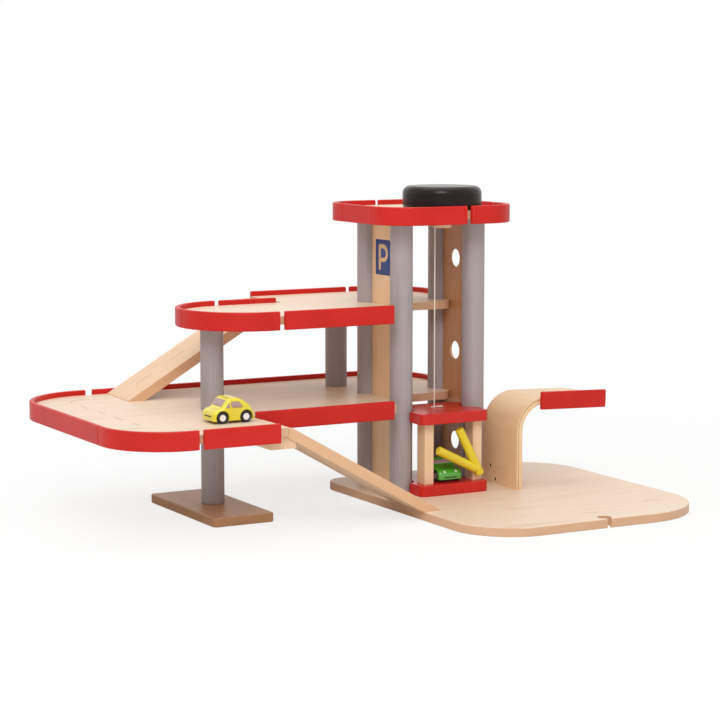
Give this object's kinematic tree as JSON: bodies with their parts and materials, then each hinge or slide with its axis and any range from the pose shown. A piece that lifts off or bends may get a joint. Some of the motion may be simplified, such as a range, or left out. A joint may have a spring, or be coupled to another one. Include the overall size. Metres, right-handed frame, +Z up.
{
  "type": "toy parking garage with lift",
  "caption": "Wooden toy parking garage with railed decks on dowel columns, ramps, a canopy, a hand-wound cord lift with a barrier, and toy cars.",
  "frame": {"origin": "centre of the base board's underside, on the surface the garage stands on", "axes": "+X along the decks, away from their round ends; +Y from the side that the lift opens to, to the back; +Z up"},
  "size_m": [0.717, 0.507, 0.39],
  "materials": {
    "natural_wood": "clear matt lacquer",
    "bent_plywood": "clear matt lacquer, three plies",
    "shaft_panel": "clear matt lacquer",
    "pin_wood": "plain dowel",
    "red_paint": "red paint, satin",
    "grey_paint": "grey stain, matt",
    "black_paint": "black lacquer, gloss",
    "yellow_paint": "yellow paint, satin",
    "green_paint": "green paint, gloss",
    "cord": "braided cotton",
    "dark_steel": "browned",
    "tyre_rubber": "matt"
  },
  "bodies": {
    "garage": {"base_board": "natural_wood", "foot_board": "natural_wood", "deck_1_board": "natural_wood", "deck_2_board": "natural_wood", "roof_board": "natural_wood", "deck_1_rail_back_left": "red_paint", "deck_1_rail_front_left": "red_paint", "deck_1_rail_front": "red_paint", "deck_1_rail_tower": "red_paint", "deck_1_rail_back": "red_paint", "deck_1_rail_back_right": "red_paint", "deck_2_rail_left_back": "red_paint", "deck_2_rail_left_front": "red_paint", "deck_2_rail_rear": "red_paint", "deck_2_rail_front": "red_paint", "deck_2_rail_back": "red_paint", "deck_2_rail_back_right": "red_paint", "roof_rail_left": "red_paint", "roof_rail_front_left": "red_paint", "roof_rail_front_right": "red_paint", "roof_rail_back_right": "red_paint", "roof_rail_back_left": "red_paint", "column_front_left": "grey_paint", "column_front_right": "grey_paint", "column_back_left": "grey_paint", "column_back_right": "grey_paint", "column_foot": "grey_paint", "column_deck_left": "grey_paint", "column_deck_rear": "grey_paint", "panel_left": "shaft_panel", "panel_right": "shaft_panel", "ramp_lower": "natural_wood", "ramp_upper": "natural_wood", "ramp_cleat_lower": "natural_wood", "ramp_cleat_upper": "natural_wood", "canopy_arch": "bent_plywood", "canopy_block": "natural_wood", "canopy_rail": "red_paint", "canopy_screws": "dark_steel", "hoist_cord": "cord"},
    "lift": {"lift_floor": "red_paint", "lift_top": "red_paint", "lift_post_left": "natural_wood", "lift_post_right": "natural_wood", "cord_stitch": "cord"},
    "gate": {"gate_high_arm": "yellow_paint", "gate_low_arm": "yellow_paint", "gate_pin": "pin_wood"},
    "winch": {"winch_wheel": "black_paint", "winch_drum": "pin_wood", "winch_shaft": "pin_wood", "winch_collar": "pin_wood", "cord_winding": "cord"},
    "yellow_car": {"yellow_body": "yellow_paint"},
    "yellow_front_wheelset": {"yellow_front_wheels": "tyre_rubber"},
    "yellow_rear_wheelset": {"yellow_rear_wheels": "tyre_rubber"},
    "green_car": {"green_body": "green_paint"},
    "green_front_wheelset": {"green_front_wheels": "tyre_rubber"},
    "green_rear_wheelset": {"green_rear_wheels": "tyre_rubber"}
  },
  "joints": [
    {"name": "lift_slide", "type": "slide", "parent": "garage", "child": "lift", "axis": [0, 0, 1], "range_m": [0, 0.2175], "deforming": ["hoist_cord"]},
    {"name": "winch_turn", "type": "hinge", "parent": "garage", "child": "winch", "pos_m": [-0.066, 0.073, 0.372], "axis": [0, 0, 1], "range_deg": [0, 940]},
    {"name": "gate_swing", "type": "hinge", "parent": "lift", "child": "gate", "pos_m": [-0.038, 0.0291, 0.038], "axis": [0, 1, 0], "range_deg": [-32, 40]},
    {"name": "yellow_roll", "type": "slide", "parent": "garage", "child": "yellow_car", "axis": [-1, 0, 0], "range_m": [-0.012, 0.12]},
    {"name": "yellow_front_spin", "type": "hinge", "parent": "yellow_car", "child": "yellow_front_wheelset", "pos_m": [-0.403, 0.015, 0.133], "axis": [0, -1, 0], "range_deg": [-100, 985]},
    {"name": "yellow_rear_spin", "type": "hinge", "parent": "yellow_car", "child": "yellow_rear_wheelset", "pos_m": [-0.373, 0.015, 0.133], "axis": [0, -1, 0], "range_deg": [-100, 985]},
    {"name": "green_roll", "type": "slide", "parent": "lift", "child": "green_car", "axis": [0, 1, 0], "range_m": [0, 0.02]},
    {"name": "green_front_spin", "type": "hinge", "parent": "green_car", "child": "green_front_wheelset", "pos_m": [-0.0735, 0.047, 0.0315], "axis": [-1, 0, 0], "range_deg": [0, 165]},
    {"name": "green_rear_spin", "type": "hinge", "parent": "green_car", "child": "green_rear_wheelset", "pos_m": [-0.0735, 0.077, 0.0315], "axis": [-1, 0, 0], "range_deg": [0, 165]}
  ],
  "couplings": [
    {"joint": "winch_turn", "follows": "lift_slide", "rad_per_m": 75.188},
    {"joint": "yellow_front_spin", "follows": "yellow_roll", "rad_per_m": 142.86},
    {"joint": "yellow_rear_spin", "follows": "yellow_roll", "rad_per_m": 142.86},
    {"joint": "green_front_spin", "follows": "green_roll", "rad_per_m": 142.86},
    {"joint": "green_rear_spin", "follows": "green_roll", "rad_per_m": 142.86}
  ]
}
